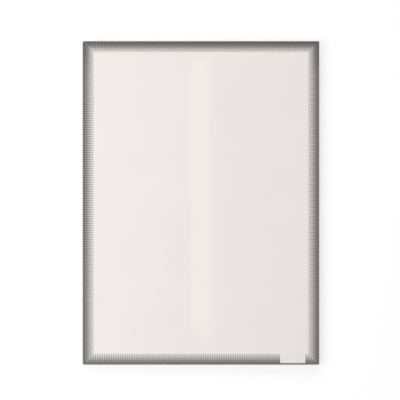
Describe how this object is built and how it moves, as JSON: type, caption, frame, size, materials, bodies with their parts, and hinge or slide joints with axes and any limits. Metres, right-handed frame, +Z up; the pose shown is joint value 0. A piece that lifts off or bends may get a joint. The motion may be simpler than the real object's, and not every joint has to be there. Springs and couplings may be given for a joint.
{
  "type": "electrostatic document holder",
  "caption": "Flat A4 display frame that clings to glass by static film, with a grey dotted border and a magnetic clear cover that swings open on a film hinge.",
  "frame": {"origin": "centre of the clinging back face", "axes": "+Y out of the back towards the pane, +Z up along the frame's height, the cover faces -Y"},
  "size_m": [0.2364, 0.0021, 0.323],
  "materials": {
    "cling_film": "soft clear static film",
    "rear_sheet": "milky off-white sheet, satin",
    "backing_panel": "off-white foamed sheet, satin",
    "printed_border": "warm grey halftone dots that fade inwards, satin",
    "magnetic_rubber": "matt ferrite rubber",
    "hinge_film": "grey flexible film, satin",
    "clear_window": "clear glossy film",
    "bare_label": "bare white film"
  },
  "bodies": {
    "rear": {"cling_film": "cling_film", "rear_sheet": "rear_sheet", "backing_panel": "backing_panel", "rear_border_top": "printed_border", "rear_border_left": "printed_border", "rear_border_bottom": "printed_border", "rear_border_right": "printed_border", "rear_magnet_top": "magnetic_rubber", "rear_magnet_left": "magnetic_rubber", "rear_magnet_bottom": "magnetic_rubber", "rear_magnet_right": "magnetic_rubber", "hinge_film": "hinge_film"},
    "cover": {"cover_window": "clear_window", "cover_magnet_top": "magnetic_rubber", "cover_magnet_left": "magnetic_rubber", "cover_magnet_bottom": "magnetic_rubber", "cover_magnet_right": "magnetic_rubber", "cover_border_top": "printed_border", "cover_border_left": "printed_border", "cover_border_bottom": "printed_border", "cover_border_right": "printed_border", "label_plate": "bare_label"}
  },
  "joints": [
    {"name": "cover_hinge", "type": "hinge", "parent": "rear", "child": "cover", "pos_m": [-0.11812, -0.00125, 0], "axis": [0, 0, -1], "range_deg": [0, 180], "deforming": ["hinge_film"]}
  ]
}
